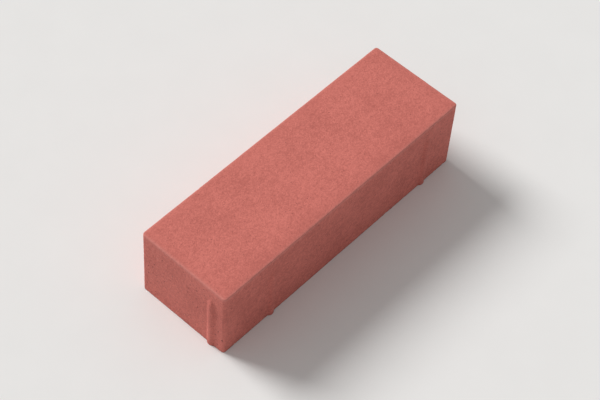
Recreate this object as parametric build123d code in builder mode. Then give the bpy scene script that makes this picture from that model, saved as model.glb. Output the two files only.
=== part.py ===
from build123d import *
import os

# A rectangular concrete paving stone, cast as one piece in a steel mould.
# The origin is at the middle of the underside, +X runs along the stone and
# +Z points up to the wearing face. All sizes are in millimetres.

# The laying grid: one stone and half a joint all round it.
grid_length = 300.0
grid_width = 100.0
joint_width = 3.0
thickness = 80.0

# The wearing face is flat in the middle and rolls off to its edges along a
# parabola, which leaves the flat without a crease. A round arris ends it.
crown_width = 15.0
crown_fall = 0.8
arris_radius = 1.0

# Seen from above, the stone's corners are round, and the flat's corners are
# rounder still.
corner_radius = 3.0
flat_corner_radius = 8.0

# Spacer nibs: upright ribs on the sides that hold the joint open. Each is part
# of a round post that stands in the side face, with a tapered head. The head
# fades into the face below the top, so that the joint filling hides it.
nib_radius = 5.0
nib_proud = 2.0
nib_head = 8.0
nib_drop = 14.0

# The two nibs of a long side stand at different distances from the ends, and
# the nib of an end stands near a corner. The nibs of neighbouring stones then
# pass each other in herringbone, stack, half and third bond.
near_nib_inset = 38.5
far_nib_inset = 58.5
end_nib_inset = 15.5

stone_length = grid_length - joint_width
stone_width = grid_width - joint_width


def crown_outline(inset_share):
    """Outline of the wearing face, a share of the crown's width in from the sides."""
    inset = crown_width * inset_share
    height = thickness - crown_fall * (1 - inset_share) ** 2
    radius = corner_radius + (flat_corner_radius - corner_radius) * inset_share
    with BuildSketch(Plane.XY.offset(height)) as outline:
        RectangleRounded(stone_length - 2 * inset, stone_width - 2 * inset, radius)
    return outline.sketch


def spacer_nib():
    """Round post with a pointed head, standing on the ground plane."""
    shaft_top = thickness - nib_drop - nib_head
    point_height = shaft_top + nib_head * nib_radius / nib_proud
    with BuildPart() as nib:
        with BuildSketch(Plane.XZ):
            Polygon(
                (0, 0),
                (nib_radius, 0),
                (nib_radius, shaft_top),
                (0, point_height),
                align=None,
            )
        revolve(axis=Axis.Z)
        # A long point stops inside the stone, well below the wearing face.
        split(bisect_by=Plane.XY.offset(thickness - nib_drop / 2), keep=Keep.BOTTOM)
    return nib.part


def nib_places():
    """Centres of the posts: the far sides repeat the near ones, turned half round."""
    post_depth = nib_radius - nib_proud
    near_x = stone_length / 2 - near_nib_inset
    far_x = stone_length / 2 - far_nib_inset
    side_y = stone_width / 2 - post_depth
    end_x = stone_length / 2 - post_depth
    end_y = stone_width / 2 - end_nib_inset
    places = []
    for turn in (1, -1):
        places.append((-turn * near_x, turn * side_y))
        places.append((turn * far_x, turn * side_y))
        places.append((turn * end_x, turn * end_y))
    return places


rim_outline = crown_outline(0)
middle_outline = crown_outline(0.5)
flat_outline = crown_outline(1)
nib = spacer_nib()

with BuildPart() as paving_stone:
    # The upright block ends at the rim, where the crown starts.
    with BuildSketch(Plane.XY):
        RectangleRounded(stone_length, stone_width, corner_radius)
    extrude(amount=thickness - crown_fall)

    # A smooth loft through three outlines has the parabola as its section.
    loft([rim_outline, middle_outline, flat_outline])

    # The arris runs round the top of the upright faces, and can't be rounder
    # than the corners that it passes.
    upright_faces = paving_stone.faces().filter_by(lambda face: abs(face.normal_at().Z) < 0.5)
    rim = upright_faces.edges().filter_by(lambda edge: edge.bounding_box().min.Z > thickness / 2)
    fillet(rim, min(arris_radius, corner_radius))

    with Locations(*nib_places()):
        add(nib)

paving_stone.part.label = "paving_stone"

os.makedirs("parts", exist_ok=True)
export_step(paving_stone.part, "parts/paving_stone.step")
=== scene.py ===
# Dresses the concrete paving stone: one finely divided mesh of the whole stone,
# with its rolled-off top, its side nibs and the relief of cast concrete, a
# brick-red concrete material, a pale floor, soft light and the camera.
# Shapes are worked out in millimetres and turned into metres at the end.
import math

import bpy
import numpy as np
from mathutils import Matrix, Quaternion, Vector, kdtree, noise


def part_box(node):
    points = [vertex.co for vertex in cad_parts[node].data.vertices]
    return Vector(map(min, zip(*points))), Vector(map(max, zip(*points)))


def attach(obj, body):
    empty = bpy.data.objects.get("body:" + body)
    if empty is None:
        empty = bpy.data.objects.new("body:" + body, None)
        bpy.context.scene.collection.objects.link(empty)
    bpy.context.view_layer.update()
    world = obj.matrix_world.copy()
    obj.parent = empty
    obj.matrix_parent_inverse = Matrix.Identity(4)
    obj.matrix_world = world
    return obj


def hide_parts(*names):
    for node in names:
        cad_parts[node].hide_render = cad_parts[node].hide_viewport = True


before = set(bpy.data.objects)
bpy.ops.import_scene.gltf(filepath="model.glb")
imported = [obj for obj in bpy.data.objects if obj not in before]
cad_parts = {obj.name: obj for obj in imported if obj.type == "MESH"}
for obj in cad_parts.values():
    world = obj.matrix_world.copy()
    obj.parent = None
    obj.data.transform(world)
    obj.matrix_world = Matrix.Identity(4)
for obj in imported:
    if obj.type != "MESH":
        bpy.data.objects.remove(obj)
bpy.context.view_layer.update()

MM = 0.001
NODE = "paving_stone"

# The stone's form, as in its source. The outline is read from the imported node,
# whose box is larger than the block by the nibs.
crown_width = 15.0
crown_fall = 0.8
arris_radius = 1.0
corner_radius = 3.0
flat_corner_radius = 8.0
nib_radius = 5.0
nib_proud = 2.0
nib_head = 8.0
nib_drop = 14.0
near_nib_inset = 38.5
far_nib_inset = 58.5
end_nib_inset = 15.5

node_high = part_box(NODE)[1]
half_length = node_high[0] / MM - nib_proud
half_width = node_high[1] / MM - nib_proud
thickness = node_high[2] / MM

# The corner between a nib and its wall is eased by about this much.
nib_foot_blend = 0.3

# How finely the surfaces are divided, and how often the search for a place's
# share of the crown halves its range.
top_spacing = 1.0
wall_spacing = 1.7
arris_steps = 6
beside_arris = (0.5, 1.0, 1.6)
underside_step = 4
crown_halvings = 24

# The relief of the cast surface, all of it inward from the mould's own faces.
seed = 20
wave_size = 26.0
wave_depth = 0.10
grain_size = 2.4
grain_octaves = 3
grain_octave_ratio = 2.0
grain_falloff = 0.6
top_grain_depth = 0.05
wall_grain_depth = 0.16
underside_grain_depth = 0.30
streak_width = 3.2
streak_length = 30.0
streak_depth = 0.10
rubbed_reach = 1.8
rubbed_depth = 0.15
rubbed_patch = 9.0
rubbed_unevenness = 0.6
pit_radius = (0.9, 1.9)
pit_depth = (0.10, 0.40)
wall_pits = 260
underside_pits = 260

# A face counts as wall less and less as it turns upward or downward, and takes
# pits only where it is nearly all wall or all underside.
wall_fade = 1.5
pitted_share = 0.9

# The paler arris, partly rubbed wear and partly a painted highlight, fades with the distance
# from the outline and from the top.
pale_arris_width = 1.8
pale_arris_drop = 3.0

# The colours are linear.
dark_colour = (0.505, 0.133, 0.107)
pale_colour = (0.685, 0.197, 0.160)
# Painted shade for the crevices, pores and voids.
pore_shade_colour = (0.230, 0.060, 0.050)
# Paler colour of the arris: partly the dust of rubbed wear, partly a painted highlight.
dust_and_highlight_colour = (0.680, 0.280, 0.240)
floor_colour = (0.80, 0.79, 0.775)
floor_shade = 0.985

# The concrete's tone, from pigment clouds down to single grains of sand: the
# size of each layer, and its weight. The range runs from dark to pale.
cloud_size = 36.0
mottle_size = 4.5
tooth_size = 1.9
sand_size = 0.8
cloud_weight = 1.05
mottle_weight = 0.85
tooth_weight = 1.15
sand_weight = 1.60
grain_weight = 0.40
tone_range = (1.975, 3.075)

# The cells that hold crevices, pores and voids, in millimetres, and how strongly these are
# darkened with painted shade, the arris is paled by wear and a painted highlight, and the
# crown is tinted.
crevice_cell = 2.6
crevice_break = 3.1
pore_cell = 2.6
void_cell = 4.2
crevice_tint = 0.12
pore_tint = 0.85
void_tint = 0.80
arris_wear_and_highlight_tint = 0.60
crown_tint = 0.37

# Heights of the fine relief that is left to bump, in millimetres. The mould's
# drag lines on the sides are so many to the millimetre, across and along.
sand_height = 0.28
grain_height = 0.12
tooth_height = 0.15
mottle_height = 0.30
crevice_height = -0.05
pore_height = -0.35
void_height = -0.70
drag_height = 0.25
drag_lines = (0.5, 0.5, 0.06)

# The photograph's own view of the stone: angles in degrees, and the distance
# in metres from the middle of the wearing face. The camera is held a little
# aslant. Its lens is longer than the photograph's, so that the stone fills
# more of the picture, and it looks at the aim point, in millimetres.
view_azimuth = -51.26
view_elevation = 51.68
view_distance = 1.571
view_lens = 109.6
view_roll = 4.88
aim_point = (-6.2, -2.7, 40.0)

# The light comes from beyond the stone, on the left of the picture. It is a
# distant and broad one, so that the floor is lit evenly and shadows are soft.
# The floor is wide enough, in metres, for its edge to stay out of sight.
key_azimuth = -170.0
key_elevation = 39.0
key_breadth = 24.0
key_strength = 2.95
fill_strength = 0.40
floor_half = 40.0
floor_cloud_size = 40.0

# Places of the colour sockets on a Mix node.
MIX_FIRST = 6
MIX_SECOND = 7
MIX_RESULT = 2


def soft_positive(value, blend):
    """The larger of value and zero, with the corner between them rounded."""
    return 0.5 * (value + np.sqrt(value * value + blend * blend))


def grid_lines(half):
    """Line places across the stone, close together over the round arris."""
    angles = np.linspace(0.0, math.pi / 2, arris_steps + 1)
    arris = arris_radius * (1.0 - np.cos(angles))
    border = np.concatenate([arris, arris_radius + np.array(beside_arris)])
    inner = half - border[-1]
    count = max(2, int(round(2 * inner / top_spacing)))
    middle = np.linspace(-inner, inner, count + 1)[1:-1]
    return np.concatenate([-half + border, middle, (half - border)[::-1]])


def held_inside(x, y):
    """The nearest places in the rectangle that joins the corner arcs' centres."""
    reach_x, reach_y = half_length - corner_radius, half_width - corner_radius
    return np.clip(x, -reach_x, reach_x), np.clip(y, -reach_y, reach_y)


def plan_points(u, v):
    """Square grid places moved so that the outline's corners become round."""
    inner_u, inner_v = held_inside(u, v)
    out_u, out_v = u - inner_u, v - inner_v
    square = np.maximum(np.abs(out_u), np.abs(out_v))
    round_ = np.hypot(out_u, out_v)
    scale = np.divide(square, round_, out=np.ones_like(square), where=round_ > 0)
    return inner_u + out_u * scale, inner_v + out_v * scale


def outward(x, y):
    """Unit vectors that point straight out of the outline, from places on it."""
    inner_x, inner_y = held_inside(x, y)
    out_x, out_y = x - inner_x, y - inner_y
    length = np.hypot(out_x, out_y)
    return out_x / length, out_y / length


def core_distance(x, y, inset, radius):
    """Distance from the rectangle that joins the arc centres of an inset outline.

    It is the outline's corner radius on the outline, and below zero well inside.
    """
    out_x = np.abs(x) - (half_length - inset - radius)
    out_y = np.abs(y) - (half_width - inset - radius)
    beyond = np.hypot(np.maximum(out_x, 0.0), np.maximum(out_y, 0.0))
    return beyond + np.minimum(np.maximum(out_x, out_y), 0.0)


def inset_of(x, y):
    """How far in from the stone's outline a place lies."""
    return np.maximum(corner_radius - core_distance(x, y, 0.0, corner_radius), 0.0)


def crown_share(x, y):
    """How far in from the outline a place lies, as a share of the crown's width."""
    low, high = np.zeros_like(x), np.ones_like(x)
    for _ in range(crown_halvings):
        share = 0.5 * (low + high)
        radius = corner_radius + (flat_corner_radius - corner_radius) * share
        outside = core_distance(x, y, crown_width * share, radius) > radius
        low, high = np.where(outside, low, share), np.where(outside, share, high)
    return low


def top_height(u, v):
    """Height of the wearing face: flat, then the crown's parabola, then the arris."""
    crown = crown_fall * (1.0 - crown_share(*plan_points(u, v))) ** 2
    inset = np.minimum(half_length - np.abs(u), half_width - np.abs(v))
    arris = np.clip(1.0 - inset / arris_radius, 0.0, 1.0)
    return thickness - crown - arris_radius * (1.0 - np.sqrt(1.0 - arris ** 2))


def nib_posts():
    """Each nib's post centre in plan and the way that its side faces."""
    post_depth = nib_radius - nib_proud
    posts = []
    for turn in (1.0, -1.0):
        side = turn * (half_width - post_depth)
        posts.append(((-turn * (half_length - near_nib_inset), side), (0.0, turn)))
        posts.append(((turn * (half_length - far_nib_inset), side), (0.0, turn)))
        end = turn * (half_length - post_depth)
        posts.append(((end, turn * (half_width - end_nib_inset)), (turn, 0.0)))
    return posts


def nib_bulge(x, y, normal_x, normal_y, height):
    """How far the nibs stand proud of the wall at these outline places."""
    post_depth = nib_radius - nib_proud
    shaft_top = thickness - nib_drop - nib_head
    taper = max(0.0, height - shaft_top) * nib_proud / nib_head
    radius = max(0.0, nib_radius - taper)
    same_way = 0.99
    bulge = np.zeros_like(x)
    for (post_x, post_y), (out_x, out_y) in nib_posts():
        along = (x - post_x) * out_y - (y - post_y) * out_x
        proud = np.sqrt(np.clip(radius ** 2 - along ** 2, 0.0, None)) - post_depth
        faces = normal_x * out_x + normal_y * out_y > same_way
        near = np.abs(along) < 2 * nib_radius
        bulge += np.where(faces & near, soft_positive(proud, nib_foot_blend), 0.0)
    return bulge


def wall_heights():
    """Heights of the wall's rows, close together under the arris, down to the ground."""
    rim = thickness - crown_fall - arris_radius
    below_arris = rim - np.array(beside_arris)
    rows = int(round(below_arris[-1] / wall_spacing))
    return [*below_arris, *np.linspace(below_arris[-1], 0.0, rows + 1)[1:]]


def underside_lines(count):
    """The lines of the top's grid that the coarser underside repeats."""
    return sorted(set(range(0, count - 1, underside_step)) | {count - 1})


def stone_surface():
    """Places and faces of the whole stone."""
    us, vs = grid_lines(half_length), grid_lines(half_width)
    u, v = np.meshgrid(us, vs, indexing="ij")
    x, y = plan_points(u, v)
    nu, nv = u.shape
    total = nu * nv
    top = np.arange(total).reshape(nu, nv)
    places = [np.column_stack([x.ravel(), y.ravel(), top_height(u, v).ravel()])]

    # The wall hangs from the top's border, one ring of places for each row.
    ring = np.concatenate([top[:, 0], top[-1, 1:], top[-2::-1, -1], top[0, -2:0:-1]])
    ring_x, ring_y = x.ravel()[ring], y.ravel()[ring]
    normal_x, normal_y = outward(ring_x, ring_y)
    wall_rings = [ring]
    for height in wall_heights():
        bulge = nib_bulge(ring_x, ring_y, normal_x, normal_y, height)
        wall_rings.append(total + np.arange(ring.size))
        places.append(np.column_stack([
            ring_x + normal_x * bulge,
            ring_y + normal_y * bulge,
            np.full(ring.size, height),
        ]))
        total += ring.size

    # The underside is coarser, and its border cells take in every wall place.
    under = np.full((nu, nv), -1)
    under.ravel()[ring] = wall_rings[-1]
    keep_u, keep_v = underside_lines(nu), underside_lines(nv)
    inner_u, inner_v = np.meshgrid(keep_u[1:-1], keep_v[1:-1], indexing="ij")
    under[inner_u, inner_v] = total + np.arange(inner_u.size).reshape(inner_u.shape)
    places.append(np.column_stack([
        x[inner_u, inner_v].ravel(),
        y[inner_u, inner_v].ravel(),
        np.zeros(inner_u.size),
    ]))

    faces = np.stack([top[:-1, :-1], top[1:, :-1], top[1:, 1:], top[:-1, 1:]], axis=-1)
    faces = faces.reshape(-1, 4).tolist()
    for upper, lower in zip(wall_rings, wall_rings[1:]):
        quads = [upper, lower, np.roll(lower, -1), np.roll(upper, -1)]
        faces += np.stack(quads, axis=-1).tolist()
    for i0, i1 in zip(keep_u, keep_u[1:]):
        for j0, j1 in zip(keep_v, keep_v[1:]):
            walk = np.concatenate([
                under[i0, j0:j1],
                under[i0:i1, j1],
                under[i1, j1:j0:-1],
                under[i1:i0:-1, j0],
            ])
            faces.append(walk[walk >= 0].tolist())
    return np.concatenate(places), faces


def even_noise(point):
    """Smooth noise between about 0 and 1."""
    return 0.5 + 0.5 * noise.noise(point)


def cast_relief(places, wall, under):
    """Depth of the waves, the grain, the mould's streaks and the rubbed arris."""
    grain_depth = (
        top_grain_depth
        + (wall_grain_depth - top_grain_depth) * wall
        + (underside_grain_depth - top_grain_depth) * under
    )
    drop = np.maximum(thickness - crown_fall - places[:, 2], 0.0)
    reach = np.hypot(inset_of(places[:, 0], places[:, 1]), drop) / rubbed_reach
    rubbed = rubbed_depth * np.clip(1.0 - reach ** 2, 0.0, None) ** 2
    depth = np.zeros(len(places))
    for index, place in enumerate(places):
        point = Vector(place)
        grain = 0.5 + 0.5 * noise.fractal(
            point / grain_size, grain_falloff, grain_octave_ratio, grain_octaves
        )
        streak_point = Vector((
            point.x / streak_width,
            point.y / streak_width,
            point.z / streak_length,
        ))
        patch = 1.0 + rubbed_unevenness * noise.noise(point / rubbed_patch)
        depth[index] = (
            wave_depth * even_noise(point / wave_size)
            + grain_depth[index] * grain
            + streak_depth * even_noise(streak_point) * wall[index]
            + rubbed[index] * patch
        )
    return np.clip(depth, 0.0, None)


def air_pits(places, wall, under):
    """Depth of the small round pits that trapped air leaves on the hidden faces."""
    tree = kdtree.KDTree(len(places))
    for index, place in enumerate(places):
        tree.insert(place, index)
    tree.balance()
    pits = np.zeros(len(places))
    chance = np.random.default_rng(seed)
    regions = (
        (np.flatnonzero(wall > pitted_share), wall_pits),
        (np.flatnonzero(under > pitted_share), underside_pits),
    )
    for members, count in regions:
        for index in chance.choice(members, count, replace=False):
            radius = chance.uniform(*pit_radius)
            deepest = chance.uniform(*pit_depth)
            for _, other, distance in tree.find_range(places[index], radius):
                pits[other] = max(pits[other], deepest * (1.0 - (distance / radius) ** 2))
    return pits


def add_object(name, data):
    """Makes an object of this data and puts it in the scene."""
    thing = bpy.data.objects.new(name, data)
    bpy.context.scene.collection.objects.link(thing)
    return thing


def mark_finish(mesh, places, normals):
    """Stores what the material needs to know: the pressed face, the arris, the crown."""
    inset = inset_of(places[:, 0], places[:, 1])
    drop = thickness - places[:, 2]
    upward = np.clip(normals[:, 2], 0.0, 1.0)
    # The paler arris band: partly rubbed wear, partly a painted highlight.
    rubbed_and_lit_edge = np.exp(-(inset / pale_arris_width) ** 2) * np.exp(-(drop / pale_arris_drop) ** 2)
    border = (1.0 - crown_share(places[:, 0], places[:, 1])) * upward
    for name, values in (("wearing", upward), ("rubbed_and_lit_edge", rubbed_and_lit_edge), ("border", border)):
        attribute = mesh.attributes.new(name, "FLOAT", "POINT")
        attribute.data.foreach_set("value", values.astype(np.float32))


def make_stone():
    """The dressed stone as one mesh object, standing for the CAD node."""
    places, faces = stone_surface()
    mesh = bpy.data.meshes.new("cast_stone")
    mesh.from_pydata((places * MM).tolist(), [], faces)
    mesh.validate()
    mesh.update()
    normals = np.empty(len(places) * 3)
    mesh.vertex_normals.foreach_get("vector", normals)
    normals = normals.reshape(-1, 3)

    wall = np.clip(1.0 - np.abs(normals[:, 2]) * wall_fade, 0.0, 1.0)
    under = np.clip(-normals[:, 2], 0.0, 1.0)
    depth = cast_relief(places, wall, under) + air_pits(places, wall, under)
    carved = places - normals * depth[:, None]
    mesh.vertices.foreach_set("co", (carved * MM).ravel())
    mesh.update()
    mark_finish(mesh, places, normals)
    mesh.polygons.foreach_set("use_smooth", [True] * len(mesh.polygons))
    return add_object("cast_stone", mesh)


class Shader:
    """Short names for building a node tree whose lengths are in millimetres."""

    def __init__(self, name):
        self.material = bpy.data.materials.new(name)
        self.material.use_nodes = True
        self.tree = self.material.node_tree
        self.surface = self.tree.nodes["Principled BSDF"]
        scale = self.node("ShaderNodeVectorMath")
        scale.operation = "SCALE"
        scale.inputs["Scale"].default_value = 1.0 / MM
        self.join(self.node("ShaderNodeTexCoord").outputs["Object"], scale.inputs[0])
        self.place = scale.outputs[0]

    def node(self, kind):
        return self.tree.nodes.new(kind)

    def join(self, source, target):
        self.tree.links.new(source, target)

    def feed(self, target, value):
        """Sets a socket to a number or a colour, or links it."""
        if isinstance(value, bpy.types.NodeSocket):
            self.join(value, target)
        elif isinstance(value, tuple):
            target.default_value = (*value, 1.0)
        else:
            target.default_value = value

    def math(self, operation, a, b, clamp=False):
        node = self.node("ShaderNodeMath")
        node.operation = operation
        node.use_clamp = clamp
        self.feed(node.inputs[0], a)
        self.feed(node.inputs[1], b)
        return node.outputs[0]

    def blend_of(self, parts):
        """Sum of values, each times its own weight."""
        total = None
        for value, weight in parts:
            part = self.math("MULTIPLY", value, weight)
            total = part if total is None else self.math("ADD", total, part)
        return total

    def stretched(self, factors):
        """The place, scaled by another factor along each axis."""
        node = self.node("ShaderNodeVectorMath")
        node.operation = "MULTIPLY"
        self.join(self.place, node.inputs[0])
        node.inputs[1].default_value = factors
        return node.outputs[0]

    def noise_node(self, size, detail, roughness, place):
        node = self.node("ShaderNodeTexNoise")
        self.join(place, node.inputs["Vector"])
        node.inputs["Scale"].default_value = 1.0 / size
        node.inputs["Detail"].default_value = detail
        node.inputs["Roughness"].default_value = roughness
        return node

    def noise(self, size, detail=2.0, roughness=0.5, place=None):
        """Soft spots of this size, from 0 to 1."""
        node = self.noise_node(size, detail, roughness, place or self.place)
        return node.outputs["Fac"]

    def warped(self, size, amount):
        """The place, pushed about by noise, so that round shapes turn uneven."""
        wobble = self.noise_node(size, 2.0, 0.5, self.place)
        push = self.node("ShaderNodeVectorMath")
        push.operation = "MULTIPLY_ADD"
        self.join(wobble.outputs["Color"], push.inputs[0])
        push.inputs[1].default_value = (amount, amount, amount)
        self.join(self.place, push.inputs[2])
        return push.outputs[0]

    def cell_node(self, size, place):
        node = self.node("ShaderNodeTexVoronoi")
        self.join(place, node.inputs["Vector"])
        node.inputs["Scale"].default_value = 1.0 / size
        return node

    def cells(self, size, place):
        """Distance from the middle of uneven cells, and a random number for each."""
        node = self.cell_node(size, place)
        pick = self.node("ShaderNodeSeparateColor")
        self.join(node.outputs["Color"], pick.inputs[0])
        return node.outputs["Distance"], pick.outputs[0]

    def gaps(self, size, place):
        """Distance from the lines between uneven cells."""
        node = self.cell_node(size, place)
        node.feature = "DISTANCE_TO_EDGE"
        return node.outputs["Distance"]

    def hollows(self, size, place, empty, widest, slope):
        """Hollows in the middle of cells: 0 outside them and 1 at their bottoms.

        The share of the cells given by empty holds none.
        """
        distance, pick = self.cells(size, place)
        radius = self.remap(pick, low=empty, high=1.0, to_high=widest)
        return self.remap(self.math("SUBTRACT", radius, distance), low=0.0, high=slope)

    def remap(self, value, low, high, to_low=0.0, to_high=1.0):
        """Carries one range over to another, with soft ends."""
        node = self.node("ShaderNodeMapRange")
        node.interpolation_type = "SMOOTHSTEP"
        self.join(value, node.inputs["Value"])
        node.inputs["From Min"].default_value = low
        node.inputs["From Max"].default_value = high
        node.inputs["To Min"].default_value = to_low
        node.inputs["To Max"].default_value = to_high
        return node.outputs["Result"]

    def mix(self, factor, first, second):
        node = self.node("ShaderNodeMix")
        node.data_type = "RGBA"
        self.feed(node.inputs["Factor"], factor)
        self.feed(node.inputs[MIX_FIRST], first)
        self.feed(node.inputs[MIX_SECOND], second)
        return node.outputs[MIX_RESULT]

    def tinted(self, colour, mask, strength, tint):
        """A colour that goes towards another where the mask says."""
        return self.mix(self.math("MULTIPLY", mask, strength), colour, tint)

    def attribute(self, name):
        node = self.node("ShaderNodeAttribute")
        node.attribute_name = name
        return node.outputs["Fac"]


def concrete_material():
    """Fine-grained concrete, pigmented brick red all through."""
    shader = Shader("red_concrete")
    side = shader.math("SUBTRACT", 1.0, shader.attribute("wearing"), clamp=True)

    # Tone: pigment clouds, then mottling, then the single sand grains.
    cloud = shader.noise(cloud_size, detail=3.0, roughness=0.58)
    mottle = shader.noise(mottle_size, detail=3.0, roughness=0.6)
    tooth = shader.noise(tooth_size, detail=1.0)
    sand = shader.noise(sand_size, detail=3.0, roughness=0.7)
    grain_distance, grain_tone = shader.cells(sand_size, shader.warped(size=0.5, amount=0.4))
    tone = shader.blend_of((
        (cloud, cloud_weight),
        (mottle, mottle_weight),
        (tooth, tooth_weight),
        (sand, sand_weight),
        (grain_tone, grain_weight),
    ))
    colour = shader.mix(shader.remap(tone, *tone_range), dark_colour, pale_colour)

    # Rounded grains, crevices broken into short lines, fine pores, and the
    # open voids of the faces that were not pressed.
    grain = shader.remap(grain_distance, low=0.8, high=0.0)
    broken = shader.remap(shader.noise(crevice_break, detail=1.0), low=0.42, high=0.60)
    gap = shader.gaps(crevice_cell, shader.warped(size=1.6, amount=1.8))
    crevice = shader.math("MULTIPLY", shader.remap(gap, low=0.16, high=0.0), broken)
    pore_place = shader.warped(size=0.6, amount=1.0)
    pore = shader.hollows(pore_cell, pore_place, empty=0.70, widest=0.19, slope=0.11)
    void_place = shader.warped(size=1.3, amount=2.2)
    void = shader.hollows(void_cell, void_place, empty=0.45, widest=0.21, slope=0.12)
    void = shader.math("MULTIPLY", void, side)
    # Painted shade darkens the crevices, pores and voids.
    colour = shader.tinted(colour, crevice, crevice_tint, pore_shade_colour)
    colour = shader.tinted(colour, pore, pore_tint, pore_shade_colour)
    colour = shader.tinted(colour, void, void_tint, pore_shade_colour)

    # The arris is paler, partly from rubbed wear and partly as a painted highlight, and the
    # crown is a shade darker.
    colour = shader.tinted(colour, shader.attribute("rubbed_and_lit_edge"), arris_wear_and_highlight_tint, dust_and_highlight_colour)
    colour = shader.tinted(colour, shader.attribute("border"), crown_tint, dark_colour)
    shader.join(colour, shader.surface.inputs["Base Color"])

    # Dry and matt, with a roughness that changes from grain to grain.
    roughness = shader.remap(sand, low=0.3, high=0.7, to_low=0.80, to_high=0.96)
    shader.join(roughness, shader.surface.inputs["Roughness"])
    shader.surface.inputs["Specular IOR Level"].default_value = 0.35

    # Fine relief: tooth of the sand, crevices, pores, and the mould's drag.
    drag = shader.noise(1.0, place=shader.stretched(drag_lines))
    height = shader.blend_of((
        (sand, sand_height),
        (grain, grain_height),
        (tooth, tooth_height),
        (mottle, mottle_height),
        (crevice, crevice_height),
        (pore, pore_height),
        (void, void_height),
        (shader.math("MULTIPLY", drag, side), drag_height),
    ))
    bump = shader.node("ShaderNodeBump")
    bump.inputs["Distance"].default_value = MM
    bump.inputs["Strength"].default_value = 1.0
    shader.join(height, bump.inputs["Height"])
    shader.join(bump.outputs["Normal"], shader.surface.inputs["Normal"])
    return shader.material


def floor_material():
    """A pale, matt floor with the faintest clouds in its colour."""
    shader = Shader("pale_floor")
    cloud = shader.remap(shader.noise(floor_cloud_size, detail=3.0), low=0.2, high=0.8)
    slightly_darker = tuple(floor_shade * channel for channel in floor_colour)
    colour = shader.mix(cloud, slightly_darker, floor_colour)
    shader.join(colour, shader.surface.inputs["Base Color"])
    shader.surface.inputs["Roughness"].default_value = 0.9
    shader.surface.inputs["Specular IOR Level"].default_value = 0.1
    return shader.material


def make_floor():
    """A flat square under the stone."""
    mesh = bpy.data.meshes.new("floor")
    signs = ((-1, -1), (1, -1), (1, 1), (-1, 1))
    corners = [(a * floor_half, b * floor_half, 0.0) for a, b in signs]
    mesh.from_pydata(corners, [], [(0, 1, 2, 3)])
    mesh.materials.append(floor_material())
    return add_object("floor", mesh)


def direction(azimuth, elevation):
    """Unit vector from the stone towards a point seen at these angles."""
    turn, rise = math.radians(azimuth), math.radians(elevation)
    return Vector((
        math.sin(turn) * math.cos(rise),
        -math.cos(turn) * math.cos(rise),
        math.sin(rise),
    ))


def look_at(thing, target, roll=0.0):
    """Points a lamp or the camera at a place, turned about its own line of sight."""
    aim = (target - thing.location).to_track_quat("-Z", "Y")
    thing.rotation_euler = (aim @ Quaternion((0.0, 0.0, 1.0), math.radians(roll))).to_euler()


def make_lights():
    """One broad, distant lamp and an even light from all round."""
    key_data = bpy.data.lights.new("key", "SUN")
    key_data.angle = math.radians(key_breadth)
    key_data.energy = key_strength
    key = add_object("key", key_data)
    key.location = direction(key_azimuth, key_elevation)
    look_at(key, Vector((0.0, 0.0, 0.0)))

    world = bpy.data.worlds.new("studio")
    world.use_nodes = True
    background = world.node_tree.nodes["Background"]
    background.inputs["Color"].default_value = (1.0, 1.0, 1.0, 1.0)
    background.inputs["Strength"].default_value = fill_strength
    bpy.context.scene.world = world


def make_camera():
    """The photograph's own view of the stone, through a longer lens."""
    camera_data = bpy.data.cameras.new("camera")
    camera_data.lens = view_lens
    camera = add_object("camera", camera_data)
    top_middle = Vector((0.0, 0.0, thickness * MM))
    camera.location = top_middle + direction(view_azimuth, view_elevation) * view_distance
    look_at(camera, Vector(aim_point) * MM, view_roll)
    bpy.context.scene.camera = camera


stone = make_stone()
stone.data.materials.append(concrete_material())
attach(stone, "root")
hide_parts(NODE)

make_floor()
make_lights()
make_camera()
bpy.context.scene.view_settings.view_transform = "Standard"
